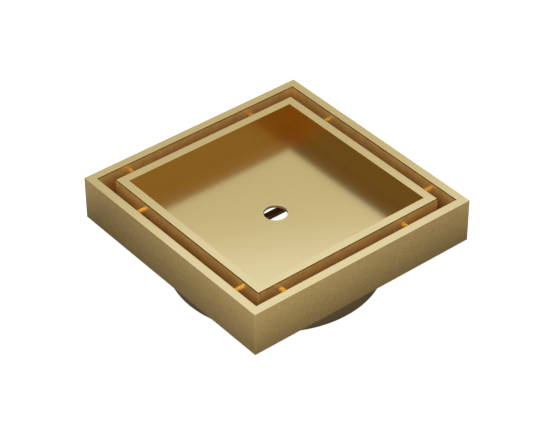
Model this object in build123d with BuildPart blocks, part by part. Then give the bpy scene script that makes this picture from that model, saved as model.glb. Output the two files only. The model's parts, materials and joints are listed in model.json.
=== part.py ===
from build123d import *
import os
from math import sqrt

# Square floor drain that takes a tile: a fixed frame with an outlet spigot below it, and an insert,
# a shallow tray that lifts out of the frame. Water runs down the slot between the two.
#
# Origin: centre of the spigot's lower end. +Z is up, and the sides face -Y (front), +X (right),
# +Y (back) and -X (left). Sizes are in millimetres.

# Frame
frame_side = 110.0  # outside of the square frame
frame_height = 20.0  # frame bars, underside to rim
frame_wall = 4.0  # thickness of the frame bars
base_sheet = 2.0  # thickness of the base plate

# Outlet
outlet_diameter = 90.0  # outside of the spigot
outlet_wall = 2.0  # wall of the spigot
outlet_length = 17.0  # spigot below the frame
outlet_lead = 0.5  # chamfer that leads the spigot into its pipe
stop_ledge = 1.0  # base plate standing proud inside the spigot, where an inner pipe stops
bridge_width = 3.0  # bars across the outlet
bridge_height = 2.0
bridge_pitch = 14.0  # between the bars' centre lines

# Insert
drain_slot = 5.0  # open slot between frame and insert
insert_wall = 4.0  # thickness of the insert bars
tile_depth = 12.0  # rim of the insert down to its floor
floor_sheet = 1.5  # thickness of the insert's floor
lift_hole_diameter = 10.0

# Spacer pins and feet of the insert
pin_diameter = 2.0
pin_pitch = 63.0  # between the two pins on one side
pin_drop = 8.2  # rim down to the pins' centre line
pin_clearance = 0.4  # free space between a pin's end and the frame
foot_diameter = 7.0

# Edges broken with a file, along the slot only
edge_break = 0.25

# Levels, upwards from the spigot's lower end
frame_bottom = outlet_length
base_top = frame_bottom + base_sheet
rim = frame_bottom + frame_height
floor_top = rim - tile_depth
insert_bottom = floor_top - floor_sheet

# Widths that follow from the ones above
frame_inside = frame_side - 2 * frame_wall
insert_outside = frame_inside - 2 * drain_slot
insert_inside = insert_outside - 2 * insert_wall
outlet_bore = outlet_diameter - 2 * outlet_wall
outlet_hole = outlet_bore - 2 * stop_ledge

# The sides in the order that quarter turns about +Z bring the front to them
SIDES = ("front", "right", "back", "left")


def keep(piece, name):
    """Label a finished piece and write it to its own STEP file."""
    piece.part.label = name
    export_step(piece.part, f"parts/{name}.step")


def slot_plane(turn, distance):
    """Upright plane that faces out of one side, with its own Y axis pointing up."""
    across = Vector(1, 0, 0).rotate(Axis.Z, turn)
    outward = Vector(0, -1, 0).rotate(Axis.Z, turn)
    return Plane(origin=(0, 0, 0), x_dir=across, z_dir=outward).offset(distance)


def mitred_bar(turn, outside, thickness, bottom, slot_edge):
    """Make one bar of a square ring, on edge from a level up to the rim, with mitred ends.

    slot_edge is the top edge that runs along the slot, counted from the longest: 0 is the outer
    edge and 1 the inner one.
    """
    outer = outside / 2
    inner = outer - thickness
    with BuildPart() as bar:
        with BuildSketch(Plane.XY.offset(bottom).rotated((0, 0, turn))):
            with BuildLine():
                Polyline(
                    (-outer, -outer),
                    (outer, -outer),
                    (inner, -inner),
                    (-inner, -inner),
                    close=True,
                )
            make_face()
        extrude(amount=rim - bottom)
        top_edges = bar.edges().group_by(Axis.Z)[-1].sort_by(SortBy.LENGTH, reverse=True)
        chamfer(top_edges[slot_edge], edge_break)
    return bar


os.makedirs("parts", exist_ok=True)

# Frame bars and insert bars: the frame faces the slot with its inside, the insert with its outside.
for quarter, side in enumerate(SIDES):
    frame_bar = mitred_bar(90 * quarter, frame_side, frame_wall, frame_bottom, slot_edge=1)
    keep(frame_bar, f"frame_wall_{side}")
    insert_bar = mitred_bar(90 * quarter, insert_outside, insert_wall, insert_bottom, slot_edge=0)
    keep(insert_bar, f"insert_wall_{side}")

# Base plate: lies inside the frame bars, level with their underside.
with BuildPart() as base_plate:
    with BuildSketch(Plane.XY.offset(frame_bottom)):
        Rectangle(frame_inside, frame_inside)
        Circle(outlet_hole / 2, mode=Mode.SUBTRACT)
    extrude(amount=base_sheet)
keep(base_plate, "base_plate")

# Outlet spigot: butts against the underside of the base plate.
with BuildPart() as outlet_spigot:
    with BuildSketch():
        Circle(outlet_diameter / 2)
        Circle(outlet_bore / 2, mode=Mode.SUBTRACT)
    extrude(amount=outlet_length)
    outer_mouth = outlet_spigot.edges().group_by(Axis.Z)[0].sort_by(SortBy.RADIUS)[-1]
    chamfer(outer_mouth, outlet_lead)
keep(outlet_spigot, "outlet_spigot")

# Bridge bars: level with the base plate's top, with their ends cut round to fit its hole.
for place, centre_line in (("front", -bridge_pitch / 2), ("back", bridge_pitch / 2)):
    with BuildPart() as bridge_bar:
        with BuildSketch(Plane.XY.offset(base_top - bridge_height)):
            Circle(outlet_hole / 2)
            with Locations((0, centre_line)):
                Rectangle(outlet_hole, bridge_width, mode=Mode.INTERSECT)
        extrude(amount=bridge_height)
    keep(bridge_bar, f"bridge_bar_{place}")

# Insert floor: lies inside the insert bars, level with their underside.
with BuildPart() as insert_floor:
    with BuildSketch(Plane.XY.offset(insert_bottom)):
        Rectangle(insert_inside, insert_inside)
        Circle(lift_hole_diameter / 2, mode=Mode.SUBTRACT)
    extrude(amount=floor_sheet)
keep(insert_floor, "insert_floor")

# Spacer pins: two on each insert bar, each named for its side and the side that it is nearer to.
for quarter, side in enumerate(SIDES):
    for step in (-1, 1):
        nearer = SIDES[(quarter + step) % len(SIDES)]
        with BuildPart() as spacer_pin:
            with BuildSketch(slot_plane(90 * quarter, insert_outside / 2)):
                with Locations((step * pin_pitch / 2, rim - pin_drop)):
                    Circle(pin_diameter / 2)
            extrude(amount=drain_slot - pin_clearance)
        keep(spacer_pin, f"spacer_pin_{side}_{nearer}")

# Insert feet: on the diagonals, midway between the outlet hole and the insert's inside corner.
foot_reach = (outlet_hole / 2 + insert_inside / sqrt(2)) / 2
foot_offset = foot_reach / sqrt(2)
for depth_side, y in (("front", -foot_offset), ("back", foot_offset)):
    for width_side, x in (("left", -foot_offset), ("right", foot_offset)):
        with BuildPart() as insert_foot:
            with BuildSketch(Plane.XY.offset(base_top)):
                with Locations((x, y)):
                    Circle(foot_diameter / 2)
            extrude(amount=insert_bottom - base_top)
        keep(insert_foot, f"insert_foot_{depth_side}_{width_side}")
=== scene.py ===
import json
from math import cos, hypot, pi, radians, sin, sqrt, tau

import bmesh
import bpy
from bpy.props import FloatProperty, FloatVectorProperty, PointerProperty
from mathutils import Matrix, Vector


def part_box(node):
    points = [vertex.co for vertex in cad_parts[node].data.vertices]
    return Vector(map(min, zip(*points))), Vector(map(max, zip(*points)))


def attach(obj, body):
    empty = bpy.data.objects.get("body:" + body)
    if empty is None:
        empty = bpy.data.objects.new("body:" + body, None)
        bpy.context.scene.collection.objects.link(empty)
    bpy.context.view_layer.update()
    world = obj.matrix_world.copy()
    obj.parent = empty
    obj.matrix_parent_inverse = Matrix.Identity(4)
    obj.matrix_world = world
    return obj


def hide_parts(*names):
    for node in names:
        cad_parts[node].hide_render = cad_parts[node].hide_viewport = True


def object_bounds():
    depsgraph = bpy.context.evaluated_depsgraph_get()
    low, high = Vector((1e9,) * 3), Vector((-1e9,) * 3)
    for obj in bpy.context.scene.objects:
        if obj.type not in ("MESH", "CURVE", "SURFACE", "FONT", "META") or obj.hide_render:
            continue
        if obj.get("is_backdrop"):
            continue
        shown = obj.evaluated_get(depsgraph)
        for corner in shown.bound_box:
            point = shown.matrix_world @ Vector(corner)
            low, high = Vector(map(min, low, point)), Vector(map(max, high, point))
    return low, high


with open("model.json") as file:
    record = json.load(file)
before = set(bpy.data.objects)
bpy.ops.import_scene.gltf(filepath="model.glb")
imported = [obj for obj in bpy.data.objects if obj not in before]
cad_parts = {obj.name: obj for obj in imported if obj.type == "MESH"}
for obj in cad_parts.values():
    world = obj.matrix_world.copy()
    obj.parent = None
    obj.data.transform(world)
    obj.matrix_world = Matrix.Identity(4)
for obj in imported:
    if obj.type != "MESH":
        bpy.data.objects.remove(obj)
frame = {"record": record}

bl_info = {
    "name": "Tile floor drain",
    "version": (1, 0, 0),
    "blender": (4, 5, 0),
    "location": "3D View > Sidebar > Drain",
    "description": "Brushed gold surfaces, edges and welds of a floor drain that takes a tile",
    "category": "Object",
}

SIDES = ("front", "right", "back", "left")
CAD_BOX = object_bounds()
ROUND_STEPS = 4  # steps round a filed edge
TURN_STEPS = 128  # steps round the outlet
PEG_STEPS = 48  # steps round a pin or a foot
DOME_STEPS = 7  # rings over the rounded end of a pin or a foot
STAGE_STEPS = 96  # steps round the stage's floor
SHARP_EDGE = radians(40)  # faces that meet at more than this keep a sharp edge
EVEN = (1, 1, 1)  # grain that runs no particular way


# Shader expressions


class Value:
    """An output socket that takes part in Python arithmetic; every operator adds a Math node."""

    def __init__(self, nodes, socket):
        self.nodes = nodes
        self.socket = socket

    def __add__(self, other):
        return self.nodes.math("ADD", self, other)

    def __radd__(self, other):
        return self.nodes.math("ADD", other, self)

    def __sub__(self, other):
        return self.nodes.math("SUBTRACT", self, other)

    def __rsub__(self, other):
        return self.nodes.math("SUBTRACT", other, self)

    def __mul__(self, other):
        return self.nodes.math("MULTIPLY", self, other)

    def __rmul__(self, other):
        return self.nodes.math("MULTIPLY", other, self)


class Nodes:
    """The node tree of a material or of the studio."""

    def __init__(self, owner):
        owner.use_nodes = True
        self.tree = owner.node_tree
        self.tree.nodes.clear()

    def add(self, kind, settings=None, inputs=None, output=0):
        """Add a node: its settings first, then the values or links of its sockets."""
        node = self.tree.nodes.new(kind)
        for name, value in (settings or {}).items():
            if name == "stops":
                self.set_stops(node.color_ramp, value)
            else:
                setattr(node, name, value)
        for name, value in (inputs or {}).items():
            if isinstance(value, Value):
                self.tree.links.new(value.socket, node.inputs[name])
            else:
                node.inputs[name].default_value = value
        return Value(self, node.outputs[output]) if len(node.outputs) else None

    def set_stops(self, ramp, stops):
        """Give a ramp its stops: pairs of a position and a colour."""
        while len(ramp.elements) < len(stops):
            ramp.elements.new(1.0)
        for element, (position, colour) in zip(ramp.elements, stops):
            element.position = position
            element.color = (*colour, 1.0)

    def math(self, operation, *values):
        """Math node on numbers or values."""
        return self.add("ShaderNodeMath", {"operation": operation}, dict(enumerate(values)))

    def axis(self, vector, name):
        """One of X, Y and Z of a vector."""
        return self.add("ShaderNodeSeparateXYZ", {}, {"Vector": vector}, output=name)

    def mix(self, factor, first, second, blend="MIX"):
        """Mix two colours."""
        settings = {"data_type": "RGBA", "blend_type": blend}
        first, second = (c if isinstance(c, Value) else (*c[:3], 1.0) for c in (first, second))
        return self.add("ShaderNodeMix", settings, {0: factor, 6: first, 7: second}, output=2)

    def grey_ramp(self, value, stops):
        """Value in, a grey out: stops are pairs of a position and a brightness."""
        stops = [(position, (level,) * 3) for position, level in stops]
        return self.add("ShaderNodeValToRGB", {"stops": stops}, {"Fac": value})

    def brightness(self, colour):
        """Brightness of a colour, as a number."""
        return self.add("ShaderNodeRGBToBW", {}, {"Color": colour})

    def noise(self, place, stretch, size):
        """Noise whose blobs are size metres across, longer by stretch along each axis."""
        scale = [1.0 / (size * factor) for factor in stretch]
        settings = {"vector_type": "POINT"}
        spread = self.add("ShaderNodeMapping", settings, {"Vector": place, "Scale": scale})
        inputs = {"Vector": spread, "Scale": 1.0, "Detail": 2.0, "Roughness": 0.55}
        return self.add("ShaderNodeTexNoise", {"noise_dimensions": "3D"}, inputs)


def metal(
    name,
    colour,
    roughness,
    stretch=EVEN,
    grain=0.0006,
    grain_tone=0.2,
    relief=0.0,
    cloud=0.003,
    cloud_tone=0.2,
    metallic=1.0,
    painted_depth_shade=None,
):
    """Brass finish with fine grain and soft clouds.

    grain is the width of its streaks, stretch how much longer they are along each axis, and
    relief their height; cloud is the size of the soft blotches. The two tones say how far grain
    and clouds tint the colour. The last argument paints shade into the colour: a level, a lower
    level and the share of the colour that is left there, so the colour darkens with depth below
    the level as if less light reached down there.
    """
    darkest, lightest = 0.6, 1.4
    gloss_swing = 0.08
    material = bpy.data.materials.new(name)
    nodes = Nodes(material)
    place = nodes.add("ShaderNodeTexCoord", output="Object")
    streaks = nodes.noise(place, stretch, grain)
    blotches = nodes.noise(place, EVEN, cloud)
    swing = (streaks - 0.5) * grain_tone + (blotches - 0.5) * cloud_tone
    dark = [channel * darkest for channel in colour]
    light = [channel * lightest for channel in colour]
    tint = nodes.mix(0.5 + swing, dark, light)
    # Painted shade: below the level the colour darkens and deepens, standing in for the light that
    # fails deep in a recess.
    if painted_depth_shade:
        high, low, left = painted_depth_shade
        height = nodes.axis(place, "Z")
        span = {"Value": height, "From Min": low, "From Max": high, "To Min": 0.0, "To Max": 1.0}
        up = nodes.add("ShaderNodeMapRange", {"clamp": True}, span)
        deepest_shade = (left, left**1.5, left**2)
        tint = nodes.mix(1.0, tint, nodes.mix(up, deepest_shade, (1.0, 1.0, 1.0)), blend="MULTIPLY")
    bump = {"Height": streaks, "Distance": relief, "Strength": 1.0}
    surface = {
        "Base Color": tint,
        "Metallic": metallic,
        "Roughness": roughness + swing * gloss_swing,
        "Normal": nodes.add("ShaderNodeBump", {}, bump),
    }
    shader = nodes.add("ShaderNodeBsdfPrincipled", {}, surface)
    nodes.add("ShaderNodeOutputMaterial", {}, {"Surface": shader})
    return material


def shaded(colour, shares):
    """A colour with each channel multiplied by its share: lit and shaded copies of the gold, which
    paint bounce light and shade.
    """
    return [channel * share for channel, share in zip(colour, shares)]


# Mesh making


def rounded_outline(low, high, radii):
    """Rectangle from low to high, anticlockwise, with a radius at each corner from low, low on."""
    corners = ((low[0], low[1]), (high[0], low[1]), (high[0], high[1]), (low[0], high[1]))
    outline = []
    for quarter, (corner, radius) in enumerate(zip(corners, radii)):
        inward = ((1, 1), (-1, 1), (-1, -1), (1, -1))[quarter]
        centre = (corner[0] + inward[0] * radius, corner[1] + inward[1] * radius)
        for step in range(ROUND_STEPS + 1):
            angle = pi + quarter * pi / 2 + step * pi / 2 / ROUND_STEPS
            outline.append((centre[0] + radius * cos(angle), centre[1] + radius * sin(angle)))
    return outline


def skin(sections, ring=False, finishes=None):
    """Faces over sections that all have the same outline; the ends are closed unless it is a ring.

    finishes gives the material of each side of the outline, the first material if left out.
    """
    size = len(sections[0])
    points = [point for section in sections for point in section]
    finishes = finishes or [0] * size
    faces = []
    for index in range(len(sections) if ring else len(sections) - 1):
        here = index * size
        there = (index + 1) % len(sections) * size
        for k in range(size):
            after = (k + 1) % size
            faces.append((here + k, here + after, there + after, there + k))
    chosen = finishes * (len(faces) // size)
    if not ring:
        faces.append(tuple(range(size)))
        faces.append(tuple(reversed(range(len(points) - size, len(points)))))
        chosen += [0, 0]
    return points, faces, chosen


def add_piece(name, shape, materials, body, nodes=()):
    """Make one closed piece, ride it on its body and let it stand for its CAD nodes.

    shape is the points, the faces and each face's place in materials.
    """
    points, faces, finishes = shape
    mesh = bpy.data.meshes.new(name)
    mesh.from_pydata(points, [], faces)
    mesh.polygons.foreach_set("material_index", finishes)
    work = bmesh.new()
    work.from_mesh(mesh)
    bmesh.ops.remove_doubles(work, verts=work.verts, dist=1e-7)
    bmesh.ops.recalc_face_normals(work, faces=work.faces)
    work.to_mesh(mesh)
    work.free()
    mesh.shade_smooth()
    mesh.set_sharp_from_angle(angle=SHARP_EDGE)
    for material in materials:
        mesh.materials.append(material)
    piece = bpy.data.objects.new(name, mesh)
    bpy.context.scene.collection.objects.link(piece)
    piece.modifiers.new("Flat faces stay flat", "WEIGHTED_NORMAL").keep_sharp = True
    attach(piece, body)
    if nodes:
        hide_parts(*nodes)


def turned(points, turn):
    """Points turned about +Z."""
    spin = Matrix.Rotation(turn, 3, "Z")
    return [tuple(spin @ Vector(point)) for point in points]


def bar_sections(outer, corner_radius, outline):
    """Sections of the front bar of a square ring, from mitre to mitre.

    outline holds depth inwards from the outer face, and height. Corners of the ring are rounded
    as far in as corner_radius.
    """
    right = []
    for step in range(ROUND_STEPS + 1):
        angle = step * pi / 4 / ROUND_STEPS
        section = []
        for depth, height in outline:
            reach = outer - max(depth, corner_radius)
            left_over = max(corner_radius - depth, 0.0)
            x = reach + left_over * sin(angle)
            y = -reach - left_over * cos(angle)
            section.append((x, y, height))
        right.append(section)
    left = [[(-x, y, z) for x, y, z in section] for section in reversed(right)]
    return left + right


def revolve(outline):
    """Ring that a closed outline of radius and height sweeps about +Z."""
    sections = []
    for step in range(TURN_STEPS):
        angle = step * tau / TURN_STEPS
        sections.append([(r * cos(angle), r * sin(angle), z) for r, z in outline])
    return skin(sections, ring=True)


def holed_plate(half, low, high, hole, edge):
    """Square plate from level low to high; the second finish is its round hole and rounded edges."""
    outline = rounded_outline((hole, low), (half, high), (edge, 0.0, 0.0, edge))
    finishes = [0] * (3 * ROUND_STEPS + 3) + [1] * (ROUND_STEPS + 1)
    finishes[:ROUND_STEPS] = [1] * ROUND_STEPS
    near = 1e-9
    sections = []
    for step in range(TURN_STEPS):
        angle = step * tau / TURN_STEPS
        stretch = 1 / max(abs(cos(angle)), abs(sin(angle)))
        section = []
        for r, z in outline:
            reach = r if r < half - near else half * stretch
            section.append((reach * cos(angle), reach * sin(angle), z))
        sections.append(section)
    return skin(sections, ring=True, finishes=finishes)


def stud(start, axis, stations):
    """Round peg along an axis: stations are distances from start and radii."""
    axis = Vector(axis)
    side = axis.orthogonal().normalized()
    other = axis.cross(side)
    sections = []
    for distance, radius in stations:
        section = []
        for step in range(PEG_STEPS):
            angle = step * tau / PEG_STEPS
            around = side * (radius * cos(angle)) + other * (radius * sin(angle))
            section.append(tuple(Vector(start) + axis * distance + around))
        sections.append(section)
    return skin(sections)


def domed_end(length, radius, rounding, quarter_steps):
    """Stations of a peg's rounded end; a quarter turn of the rounding has quarter_steps."""
    stations = []
    for step in range(DOME_STEPS):
        lean = pi / 2 * step / quarter_steps
        distance = length - rounding + rounding * sin(lean)
        stations.append((distance, radius - rounding * (1 - cos(lean))))
    return stations


def mount_radius(name):
    """Radius of one of the CAD model's round mounts."""
    for mount in frame["record"]["mounts"]:
        if mount["name"] == name:
            return mount["dims"]["r_mm"] / 1000
    raise RuntimeError(f"the CAD model has no mount called {name}")


# Sizes and colours that a user would change


def colour_property(name, description, default):
    """Property that holds a colour."""
    limits = {"size": 3, "min": 0.0, "max": 1.0}
    return FloatVectorProperty(
        name=name, description=description, default=default, subtype="COLOR", **limits
    )


def length_property(name, description, default):
    """Property that holds a length in metres."""
    return FloatProperty(name=name, description=description, default=default, unit="LENGTH")


def angle_property(name, description, degrees):
    """Property that holds an angle."""
    return FloatProperty(
        name=name, description=description, default=radians(degrees), subtype="ANGLE"
    )


class DrainFinish(bpy.types.PropertyGroup):
    gold: colour_property("Gold", "Colour of the brass", (0.80, 0.55, 0.205))
    # Painted bounce light: a deeper, brighter orange copy of the gold for the slot's faces, standing
    # in for light bouncing between the gold walls.
    slot_bounce_tint: colour_property("Bronze", "Colour of the faces of the slot", (0.92, 0.565, 0.165))
    # Painted shade: a dark colour on the edges along the slot stands in for the shadow under the
    # rims; the metal there is the same gold.
    dark: colour_property("Slot edge", "Colour of the edges along the slot", (0.16, 0.075, 0.015))
    spigot: colour_property("Spigot", "Colour of the dull spigot and weld", (0.70, 0.50, 0.24))
    # Painted highlight: a bright yellow copy of the gold for the pins stands in for the highlight
    # they catch in the slot.
    pin: colour_property("Pin", "Colour of the polished pins", (1.0, 0.88, 0.09))
    roughness: FloatProperty(
        name="Roughness",
        description="How far the rims blur what they reflect",
        default=0.235,
        min=0.0,
        max=1.0,
        subtype="FACTOR",
    )
    grain: length_property("Grain", "Width of the brushed streaks", 0.0004)


class DrainEdges(bpy.types.PropertyGroup):
    rim: length_property("Rim edge", "Radius of the bars' edges", 0.00012)
    slot: length_property("Slot edge", "Radius of the edges along the slot", 0.0003)
    corner: length_property("Corner", "Radius of the rings' corners", 0.00015)
    sheet: length_property("Sheet edge", "Radius of the holes' edges", 0.0002)
    bridge: length_property("Bridge edge", "Radius of the bridge bars' edges", 0.0003)


class DrainStage(bpy.types.PropertyGroup):
    azimuth: angle_property("Azimuth", "Direction of view, from +Y", -38.83)
    elevation: angle_property("Elevation", "Height of the view above the horizon", 38.22)
    roll: angle_property("Roll", "Tilt of the camera", -0.42)
    distance: length_property("Distance", "Camera to the rim's centre", 0.8664)
    aim: FloatVectorProperty(
        name="Aim",
        description="Camera's place to its own right and up from the rim's centre",
        default=(-0.00362, -0.01061),
        size=2,
        unit="LENGTH",
    )
    lens: FloatProperty(
        name="Lens", description="Focal length of the camera", default=145.79, unit="CAMERA"
    )


# Operators: one for each piece or group of like pieces


def ring_finishes(finish):
    """Finishes that the frame and the insert share: rim, slot face and slot edge; the slot face
    carries painted bounce light and painted shade that grows with depth, the slot edge a painted
    shadow line.
    """
    names = ("rim_gold", "slot_bounce_gold", "slot_edge_shade")
    if names[0] not in bpy.data.materials:
        metal(
            "rim_gold",
            finish.gold,
            finish.roughness,
            grain=0.0006,
            grain_tone=0.012,
            cloud=0.010,
            cloud_tone=0.03,
        )
        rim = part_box("frame_wall_front")[1].z
        # Slot faces: the gold with painted bounce light in its colour and painted shade with depth.
        metal(
            "slot_bounce_gold",
            finish.slot_bounce_tint,
            0.085,
            stretch=(1, 1, 4),
            grain=0.0005,
            grain_tone=0.25,
            relief=0.000001,
            cloud=0.004,
            cloud_tone=0.6,
            metallic=0.58,
            # Painted shade: the slot faces darken to 0.52 of their colour over 6 mm below the rim.
            painted_depth_shade=(rim, rim - 0.006, 0.52),
        )
        # Painted shadow line: the edges along the slot are painted dark.
        metal("slot_edge_shade", finish.dark, 0.4, grain=0.0004, cloud=0.002, metallic=0.9)
    return [bpy.data.materials[name] for name in names]


def bars(body, radii, finishes, materials, corner):
    """Make the four mitred bars of a body's square ring from the sizes of its CAD walls.

    radii and finishes go round a bar: outer bottom edge, bottom, inner bottom edge, inner face,
    inner top edge, top, outer top edge and outer face.
    """
    low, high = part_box(f"{body}_wall_front")
    outline = rounded_outline((0.0, low.z), (high.y - low.y, high.z), radii)
    chosen = []
    for edge, face in zip(finishes[::2], finishes[1::2]):
        chosen += [edge] * ROUND_STEPS + [face]
    points, faces, chosen = skin(bar_sections(-low.y, corner, outline), finishes=chosen)
    for quarter, side in enumerate(SIDES):
        shape = (turned(points, quarter * pi / 2), faces, chosen)
        node = f"{body}_wall_{side}"
        add_piece(f"{body}_bar_{side}", shape, materials, body, [node])


class DRAIN_OT_frame_bars(bpy.types.Operator):
    """Make the four mitred bars of the frame"""

    bl_idname = "drain.frame_bars"
    bl_label = "Frame bars"

    def execute(self, context):
        finish = context.scene.drain_finish
        edges = context.scene.drain_edges
        rim, slot, edge = ring_finishes(finish)
        side = metal(
            "side_gold",
            finish.gold,
            0.30,
            stretch=(1, 1, 2.5),
            grain=finish.grain,
            grain_tone=0.6,
            relief=0.0000004,
            cloud=0.002,
        )
        radii = (edges.rim, edges.rim, edges.slot, edges.rim)
        finishes = (1, 1, 1, 2, 3, 0, 0, 1)
        bars("frame", radii, finishes, (rim, side, slot, edge), edges.corner)
        return {"FINISHED"}


class DRAIN_OT_insert_bars(bpy.types.Operator):
    """Make the four mitred bars of the insert"""

    bl_idname = "drain.insert_bars"
    bl_label = "Insert bars"

    def execute(self, context):
        finish = context.scene.drain_finish
        edges = context.scene.drain_edges
        rim, slot, edge = ring_finishes(finish)
        tray_bounce = metal(
            "tray_bounce_gold",
            # Painted bounce light: a brighter, deeper yellow copy of the gold for the insert's inner
            # walls.
            shaded(finish.gold, (1.12, 1.04, 0.86)),
            finish.roughness,
            grain=0.0006,
            grain_tone=0.015,
            cloud=0.012,
            cloud_tone=0.04,
        )
        radii = (edges.rim, edges.rim, edges.rim, edges.slot)
        finishes = (2, 2, 2, 1, 1, 0, 3, 2)
        bars("insert", radii, finishes, (rim, tray_bounce, slot, edge), edges.corner)
        return {"FINISHED"}


class DRAIN_OT_insert_floor(bpy.types.Operator):
    """Make the insert's floor with its lift hole"""

    bl_idname = "drain.insert_floor"
    bl_label = "Insert floor"

    def execute(self, context):
        finish = context.scene.drain_finish
        edge = context.scene.drain_edges.sheet
        low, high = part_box("insert_floor")
        sheet = metal(
            "floor_gold",
            finish.gold,
            0.205,
            grain=0.0006,
            grain_tone=0.02,
            cloud=0.012,
            cloud_tone=0.04,
        )
        drilled = metal(
            "hole_gold",
            finish.spigot,
            0.35,
            grain=finish.grain,
            cloud=0.002,
            cloud_tone=0.3,
            metallic=0.72,
        )
        shape = holed_plate(high.x, low.z, high.z, mount_radius("lift_hole"), edge)
        nodes = ["insert_floor"]
        add_piece("insert_floor_sheet", shape, [sheet, drilled], "insert", nodes)
        return {"FINISHED"}


class DRAIN_OT_outlet(bpy.types.Operator):
    """Make the base plate, the spigot, its weld and the bridge bars"""

    bl_idname = "drain.outlet"
    bl_label = "Outlet"

    def execute(self, context):
        finish = context.scene.drain_finish
        edges = context.scene.drain_edges
        bridge_low, bridge_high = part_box("bridge_bar_back")
        hole = hypot(bridge_high.x, bridge_low.y)
        sheet = self.base_plate(finish, edges.sheet, hole)
        self.spigot(finish, edges.sheet)
        for place in ("front", "back"):
            self.bridge(place, hole, edges.bridge, sheet)
        return {"FINISHED"}

    def base_plate(self, finish, edge, hole):
        """Sheet that closes the frame's underside; its finish is also the bridge bars'."""
        sheet = metal(
            "base_shaded_gold",
            # Painted shade: a darker copy of the gold for the underside sheet and the bridge bars,
            # deep in the drain's shade.
            shaded(finish.gold, (0.85, 0.85, 0.85)),
            0.34,
            stretch=(6, 1, 1),
            grain=finish.grain,
            relief=0.000002,
            cloud=0.006,
        )
        low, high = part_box("base_plate")
        shape = holed_plate(high.x, low.z, high.z, hole, edge)
        add_piece("base_plate_sheet", shape, [sheet, sheet], "frame", ["base_plate"])
        return sheet

    def spigot(self, finish, edge):
        """Pipe below the base plate, and the weld that joins them."""
        pipe = metal(
            "spigot_gold",
            finish.spigot,
            0.35,
            stretch=(1, 1, 0.5),
            grain=finish.grain,
            relief=0.000003,
            cloud=0.006,
            cloud_tone=0.3,
        )
        outside = mount_radius("outlet_spigot")
        low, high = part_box("outlet_spigot")
        inner_foot = (mount_radius("spigot_bore"), low.z)
        wall = rounded_outline(inner_foot, (outside, high.z), (edge, edge, 0.0, 0.0))
        add_piece("outlet_pipe", revolve(wall), [pipe], "frame", ["outlet_spigot"])
        weld = metal("weld_gold", finish.spigot, 0.38, relief=0.00003, cloud_tone=0.4)
        add_piece("outlet_weld", self.bead(outside, high.z), [weld], "frame")

    def bead(self, radius, level):
        """Rippled fillet weld in the corner under the base plate, round the spigot."""
        size, bite, hollow = 0.0013, 0.0002, 0.93
        ripples, ripple_share = 90, 0.07
        waves, wave_share = 7, 0.05
        steps = ripples * 8
        lean_steps = 6
        sections = []
        for step in range(steps):
            angle = step * tau / steps
            ripple = ripple_share * sin(ripples * angle)
            leg = size * (1 + ripple + wave_share * sin(waves * angle))
            section = [(-bite, bite), (-bite, -leg)]
            for k in range(1, lean_steps):
                lean = pi / 2 * k / lean_steps
                section.append((leg * (1 - hollow * cos(lean)), -leg * (1 - hollow * sin(lean))))
            section.append((leg, bite))
            place = []
            for outward, upward in section:
                reach = radius + outward
                place.append((reach * cos(angle), reach * sin(angle), level + upward))
            sections.append(place)
        return skin(sections, ring=True)

    def bridge(self, place, hole, edge, finish):
        """Flat bar across the outlet, its ends cut to the base plate's round hole."""
        node = f"bridge_bar_{place}"
        low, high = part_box(node)
        outline = rounded_outline((low.y, low.z), (high.y, high.z), (edge,) * 4)
        end = [(sqrt(hole**2 - y**2), y, z) for y, z in outline]
        shape = skin([[(-x, y, z) for x, y, z in end], end])
        add_piece(f"bridge_rod_{place}", shape, [finish], "frame", [node])


class DRAIN_OT_spacer_pins(bpy.types.Operator):
    """Make the eight pins that keep the slot even, in a bright yellow that paints their highlight"""

    bl_idname = "drain.spacer_pins"
    bl_label = "Spacer pins"

    def execute(self, context):
        polished = metal(
            "pin_gold",
            # Painted highlight: bright yellow that stands in for the light the pins catch.
            context.scene.drain_finish.pin,
            0.25,
            grain=0.0003,
            grain_tone=0.05,
            cloud=0.002,
            cloud_tone=0.1,
            metallic=0.15,
        )
        collar, neck = 1.12, 1.03
        for quarter, side in enumerate(SIDES):
            spin = Matrix.Rotation(quarter * pi / 2, 3, "Z")
            outward = spin @ Vector((0, -1, 0))
            for step in (-1, 1):
                node = f"spacer_pin_{side}_{SIDES[(quarter + step) % 4]}"
                low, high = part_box(node)
                length = abs((high - low).dot(outward))
                radius = (high.z - low.z) / 2
                start = (low + high) / 2 - outward * length / 2
                stations = [(-0.0002, radius * collar), (0.0001, radius * collar)]
                stations += [(0.0004, radius * neck), (0.0007, radius)]
                stations += domed_end(length, radius, 0.0004, 6.5)
                shape = stud(start, outward, stations)
                name = node.replace("pin", "stud")
                add_piece(name, shape, [polished], "insert", [node])
        return {"FINISHED"}


class DRAIN_OT_insert_feet(bpy.types.Operator):
    """Make the four pegs that the insert stands on"""

    bl_idname = "drain.insert_feet"
    bl_label = "Insert feet"

    def execute(self, context):
        satin = metal(
            "foot_gold",
            context.scene.drain_finish.gold,
            0.3,
            stretch=(1, 1, 0.5),
            grain=0.0004,
            grain_tone=0.1,
            relief=0.000002,
            cloud_tone=0.1,
        )
        collar, neck = 1.12, 1.11
        for depth_side in ("front", "back"):
            for width_side in ("left", "right"):
                node = f"insert_foot_{depth_side}_{width_side}"
                low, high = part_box(node)
                centre = (low + high) / 2
                radius = (high.x - low.x) / 2
                length = high.z - low.z
                stations = [(-0.0001, radius * collar), (0.0002, radius * neck), (0.0006, radius)]
                stations += domed_end(length, radius, 0.0005, 6)
                shape = stud((centre.x, centre.y, high.z), (0, 0, -1), stations)
                name = node.replace("foot", "peg")
                add_piece(name, shape, [satin], "insert", [node])
        return {"FINISHED"}


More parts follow.
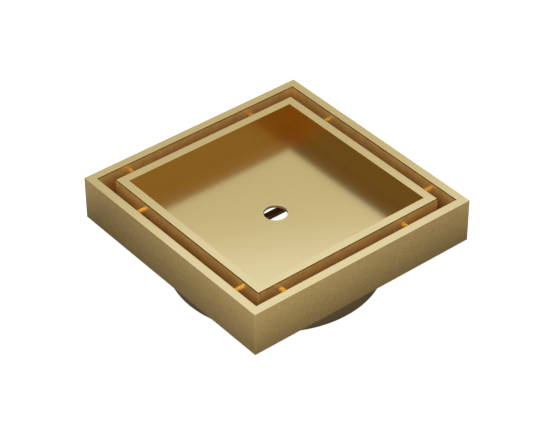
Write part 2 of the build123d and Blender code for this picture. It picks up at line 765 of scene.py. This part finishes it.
def emitter(name, colour, strength, albedo):
    """Stage surface with a glow of its own and some plain shading."""
    material = bpy.data.materials.new(name)
    nodes = Nodes(material)
    surface = {
        "Base Color": (*[albedo * channel for channel in colour], 1.0),
        "Roughness": 1.0,
        "Specular IOR Level": 0.0,
        "Emission Color": (*colour, 1.0),
        "Emission Strength": strength,
    }
    shader = nodes.add("ShaderNodeBsdfPrincipled", {}, surface)
    nodes.add("ShaderNodeOutputMaterial", {}, {"Surface": shader})
    return material


def disc(line):
    """Points and faces of a round sheet that a line of radii and heights sweeps about +Z."""
    points = [(0.0, 0.0, line[0][1])]
    faces = []
    for r, z in line:
        for step in range(STAGE_STEPS):
            angle = step * tau / STAGE_STEPS
            points.append((r * cos(angle), r * sin(angle), z))
    for step in range(STAGE_STEPS):
        after = (step + 1) % STAGE_STEPS
        faces.append((0, 1 + step, 1 + after))
        for row in range(len(line) - 1):
            near = 1 + row * STAGE_STEPS
            far = near + STAGE_STEPS
            faces.append((near + step, far + step, far + after, near + after))
    return points, faces


def add_sheet(name, material, points, faces):
    """Stage sheet, which isn't part of the drain."""
    mesh = bpy.data.meshes.new(name)
    mesh.from_pydata(points, [], faces)
    mesh.materials.append(material)
    sheet = bpy.data.objects.new(name, mesh)
    bpy.context.scene.collection.objects.link(sheet)
    return sheet


class DRAIN_OT_stage(bpy.types.Operator):
    """Set the floor, the studio light and the camera"""

    bl_idname = "drain.stage"
    bl_label = "Stage"

    def execute(self, context):
        self.show(self.floor(), seen=True)
        bounce = add_sheet("stage_bounce", self.bounce(), *disc([(1.2, -0.0005)]))
        self.show(bounce, seen=False)
        self.show(self.key_card(), seen=False)
        self.overhead()
        self.studio()
        self.camera(context.scene.drain_stage)
        context.scene.view_settings.view_transform = "Standard"
        return {"FINISHED"}

    def show(self, sheet, seen):
        """A stage sheet is either seen, or there only to light and be reflected."""
        sheet.visible_camera = seen
        sheet.visible_glossy = not seen
        sheet.visible_diffuse = not seen
        sheet.visible_shadow = not seen
        sheet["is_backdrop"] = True

    def floor(self):
        """White floor that curves up into a wall all round."""
        reach, cove, top = 1.8, 1.0, 4.0
        cove_steps = 8
        white = emitter("stage_white", (1, 1, 1), 0.98, 0.1)
        line = [(reach, 0.0)]
        for k in range(1, cove_steps + 1):
            lean = k * pi / 2 / cove_steps
            line.append((reach + cove * sin(lean), cove * (1 - cos(lean))))
        line.append((reach + cove, top))
        return add_sheet("stage_floor", white, *disc(line))

    def bounce(self):
        """Glow of the floor as the brass reflects it, with a painted contact shadow that darkens it
        close to the drain and a painted fall-off away from the near corner.
        """
        material = bpy.data.materials.new("stage_bounce")
        nodes = Nodes(material)
        place = nodes.add("ShaderNodeTexCoord", output="Object")
        x = nodes.axis(place, "X")
        y = nodes.axis(place, "Y")
        reach = nodes.math("MAXIMUM", nodes.math("ABSOLUTE", x), nodes.math("ABSOLUTE", y))
        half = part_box("frame_wall_right")[1].x
        # Painted contact shadow: the glow rises with distance from the frame's sides.
        away = (reach - half) * 5.0 + 0.25
        stops = ((0.0, 0.02), (0.25, 0.11), (0.325, 0.14), (0.385, 0.31), (0.425, 0.45), (0.6, 0.62))
        # Painted fall-off: the glow is brighter towards the near corner and darker towards the far
        # sides.
        lean = 1.02 - x * 2.56 - nodes.math("MAXIMUM", y, -0.02) * 4.6
        lean = nodes.math("MINIMUM", nodes.math("MAXIMUM", lean, 0.7), 1.35)
        lean = nodes.add("ShaderNodeCombineXYZ", {}, {"X": lean, "Y": lean, "Z": lean})
        glow = nodes.mix(1.0, nodes.grey_ramp(away, stops), lean, blend="MULTIPLY")
        surface = {
            "Base Color": (0, 0, 0, 1),
            "Specular IOR Level": 0.0,
            "Emission Color": glow,
            "Emission Strength": 1.0,
        }
        shader = nodes.add("ShaderNodeBsdfPrincipled", {}, surface)
        nodes.add("ShaderNodeOutputMaterial", {}, {"Surface": shader})
        return material

    def key_card(self):
        """Cool white card behind and above the drain; the rims show its lower edge."""
        foot = Vector((0.111, 0.115, 0.172))
        left = foot - Vector((0.874, -0.486, 0.0)) * 0.13
        right = foot + Vector((0.874, -0.486, 0.0)) * 0.25
        up = Vector((-0.299, -0.538, 0.788)) * 0.30
        cool = emitter("stage_card", (0.8, 0.995, 1.52), 1.25, 0.0)
        return add_sheet("stage_card", cool, [left, right, right + up, left + up], [(0, 1, 2, 3)])

    def overhead(self):
        """Broad light that reaches into the slot; polished faces don't mirror it."""
        lamp = bpy.data.lights.new("overhead", "SUN")
        lamp.energy = 7.4
        lamp.angle = radians(60)
        light = bpy.data.objects.new("overhead", lamp)
        light.rotation_euler = (radians(10), radians(-13), 0.0)
        light.visible_glossy = False
        bpy.context.scene.collection.objects.link(light)

    def studio(self):
        """Soft surroundings, brighter overhead, uneven and cooler on one side near the horizon."""
        world = bpy.data.worlds.new("studio")
        bpy.context.scene.world = world
        nodes = Nodes(world)
        way = nodes.add("ShaderNodeTexCoord", output="Generated")
        x = nodes.axis(way, "X")
        y = nodes.axis(way, "Y")
        z = nodes.axis(way, "Z")
        stops = ((0.0, 0.30), (0.4, 0.42), (0.75, 0.42), (0.87, 0.7), (0.94, 0.95), (1.0, 0.95))
        level = nodes.brightness(nodes.grey_ramp(z, stops))
        band = nodes.brightness(nodes.grey_ramp(z, ((0.3, 0.0), (0.5, 1.0), (0.75, 1.0), (0.9, 0.0))))
        sway = x * 0.279 + y * 0.101 + x * y * 0.3725 - 0.063
        plain = level + sway * band
        cool = band * nodes.math("MAXIMUM", x + y, 0.0)
        mixed = {"X": plain, "Y": plain + cool * 0.085, "Z": plain + cool * 0.18}
        glow = nodes.add("ShaderNodeCombineXYZ", {}, mixed)
        glow = nodes.add("ShaderNodeBackground", {}, {"Color": glow, "Strength": 1.0})
        nodes.add("ShaderNodeOutputWorld", {}, {"Surface": glow})

    def camera(self, stage):
        """Camera that looks at the rim's centre along the stage's angles."""
        target = Vector((0, 0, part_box("frame_wall_front")[1].z))
        azimuth, elevation = stage.azimuth, stage.elevation
        back = Vector((sin(azimuth) * cos(elevation), -cos(azimuth) * cos(elevation), sin(elevation)))
        level = Vector((cos(azimuth), sin(azimuth), 0))
        upright = back.cross(level)
        right = level * cos(stage.roll) + upright * sin(stage.roll)
        up = upright * cos(stage.roll) - level * sin(stage.roll)
        data = bpy.data.cameras.new("camera")
        data.sensor_width = 36.0
        data.lens = stage.lens
        data.clip_start = 0.01
        camera = bpy.data.objects.new("camera", data)
        place = target + back * stage.distance + right * stage.aim[0] + up * stage.aim[1]
        turn = Matrix((right, up, back)).transposed()
        camera.matrix_world = Matrix.Translation(place) @ turn.to_4x4()
        bpy.context.scene.collection.objects.link(camera)
        bpy.context.scene.camera = camera


OPERATORS = (
    DRAIN_OT_frame_bars,
    DRAIN_OT_outlet,
    DRAIN_OT_insert_bars,
    DRAIN_OT_insert_floor,
    DRAIN_OT_spacer_pins,
    DRAIN_OT_insert_feet,
    DRAIN_OT_stage,
)


class DRAIN_PT_panel(bpy.types.Panel):
    """Panel with one button for each step"""

    bl_label = "Floor drain"
    bl_idname = "DRAIN_PT_panel"
    bl_space_type = "VIEW_3D"
    bl_region_type = "UI"
    bl_category = "Drain"

    def draw(self, context):
        for operator in OPERATORS:
            self.layout.operator(operator.bl_idname)


GROUPS = {"drain_finish": DrainFinish, "drain_edges": DrainEdges, "drain_stage": DrainStage}
CLASSES = (*GROUPS.values(), *OPERATORS, DRAIN_PT_panel)


def register():
    for cls in CLASSES:
        bpy.utils.register_class(cls)
    for name, group in GROUPS.items():
        setattr(bpy.types.Scene, name, PointerProperty(type=group))


def unregister():
    for name in GROUPS:
        delattr(bpy.types.Scene, name)
    for cls in reversed(CLASSES):
        bpy.utils.unregister_class(cls)


def main():
    """Make every piece."""
    register()
    bpy.ops.drain.frame_bars()
    bpy.ops.drain.outlet()
    bpy.ops.drain.insert_bars()
    bpy.ops.drain.insert_floor()
    bpy.ops.drain.spacer_pins()
    bpy.ops.drain.insert_feet()
    bpy.ops.drain.stage()
    boxes = {"cad": CAD_BOX, "visual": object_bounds()}
    boxes = {name: [[float(v) for v in corner] for corner in box] for name, box in boxes.items()}


if __name__ == "__main__":
    main()
